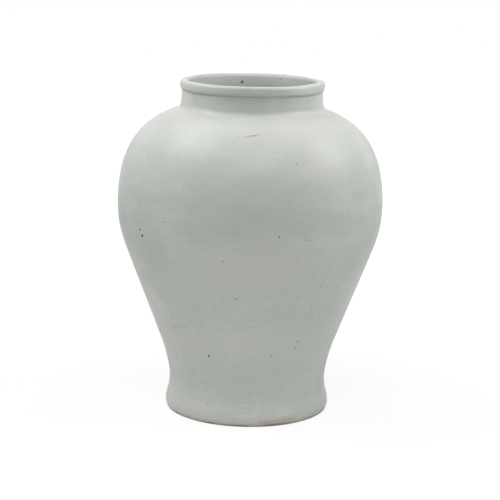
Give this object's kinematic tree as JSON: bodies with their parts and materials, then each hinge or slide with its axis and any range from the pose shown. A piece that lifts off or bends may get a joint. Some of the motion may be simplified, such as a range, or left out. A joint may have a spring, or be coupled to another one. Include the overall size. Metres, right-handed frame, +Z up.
{
  "type": "porcelain jar",
  "caption": "Tall glazed porcelain jar with a rolled lip, a short neck, a round shoulder and a tapering body that draws in to a waist above a flared ring foot.",
  "frame": {"origin": "centre of the foot, on the surface that the jar stands on", "axes": "+Z up along the jar's axis of turning; -Y towards the viewer of the picture, +X to the viewer's right"},
  "size_m": [0.399, 0.399, 0.5013],
  "materials": {
    "glaze": "satin pale grey-green celadon glaze",
    "bare_clay": "bare fired clay"
  },
  "bodies": {
    "root": {"base_slab": "bare_clay", "foot_ring": "glaze", "floor_coil": "glaze", "lower_body": "glaze", "seam_coil": "glaze", "upper_body": "glaze", "neck_collar": "glaze", "rolled_lip": "glaze"}
  },
  "joints": []
}
